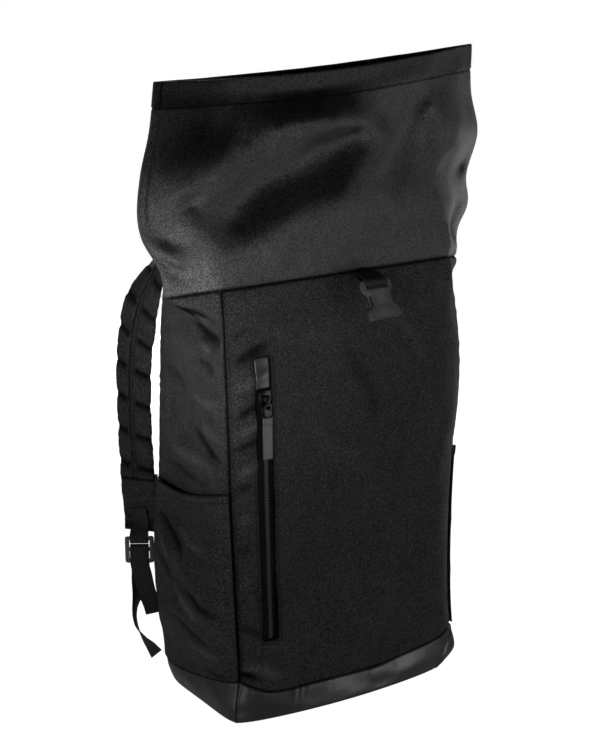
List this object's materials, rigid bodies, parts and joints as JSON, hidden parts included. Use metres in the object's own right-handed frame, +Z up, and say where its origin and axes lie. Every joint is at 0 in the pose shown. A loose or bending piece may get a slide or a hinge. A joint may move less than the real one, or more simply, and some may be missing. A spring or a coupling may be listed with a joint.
{
  "type": "backpack",
  "caption": "Black roll-top laptop backpack standing open on a faux leather base, with a front zip pocket, side pockets and padded shoulder straps.",
  "frame": {"origin": "centre of the base's underside, on the floor", "axes": "-Y is the bag's front, +X its right as seen from the front, +Z up towards the open collar"},
  "size_m": [0.4107, 0.2619, 0.669],
  "materials": {
    "body_cloth": "matt black dobby twill, lightly speckled",
    "collar_cloth": "black coated cloth with a soft sheen",
    "base_leather": "smooth black faux leather, satin",
    "webbing": "black ribbed webbing",
    "hard_plastic": "moulded black plastic, satin",
    "zip_teeth": "moulded black coil",
    "zip_enamel": "gloss black enamel"
  },
  "bodies": {
    "bag": {"base_boot": "base_leather", "front_panel": "body_cloth", "side_panel_left": "body_cloth", "side_panel_right": "body_cloth", "back_panel": "body_cloth", "collar_front": "collar_cloth", "collar_back": "collar_cloth", "side_pocket_left": "body_cloth", "side_pocket_right": "body_cloth", "zip_tape": "webbing", "zip_chain": "zip_teeth", "zip_patch": "base_leather", "zip_slider": "zip_enamel", "buckle_webbing": "webbing", "buckle_socket": "hard_plastic", "shoulder_strap_left": "body_cloth", "shoulder_strap_right": "body_cloth", "strap_tab_left": "webbing", "strap_tab_right": "webbing", "adjuster_webbing_left": "webbing", "adjuster_webbing_right": "webbing", "ladder_lock_left": "hard_plastic", "ladder_lock_right": "hard_plastic"},
    "puller": {"zip_puller": "zip_enamel"}
  },
  "joints": [
    {"name": "puller_swing", "type": "hinge", "parent": "bag", "child": "puller", "pos_m": [-0.09829, -0.08075, 0.34352], "axis": [-1, 0, 0], "range_deg": [0, 150]}
  ]
}
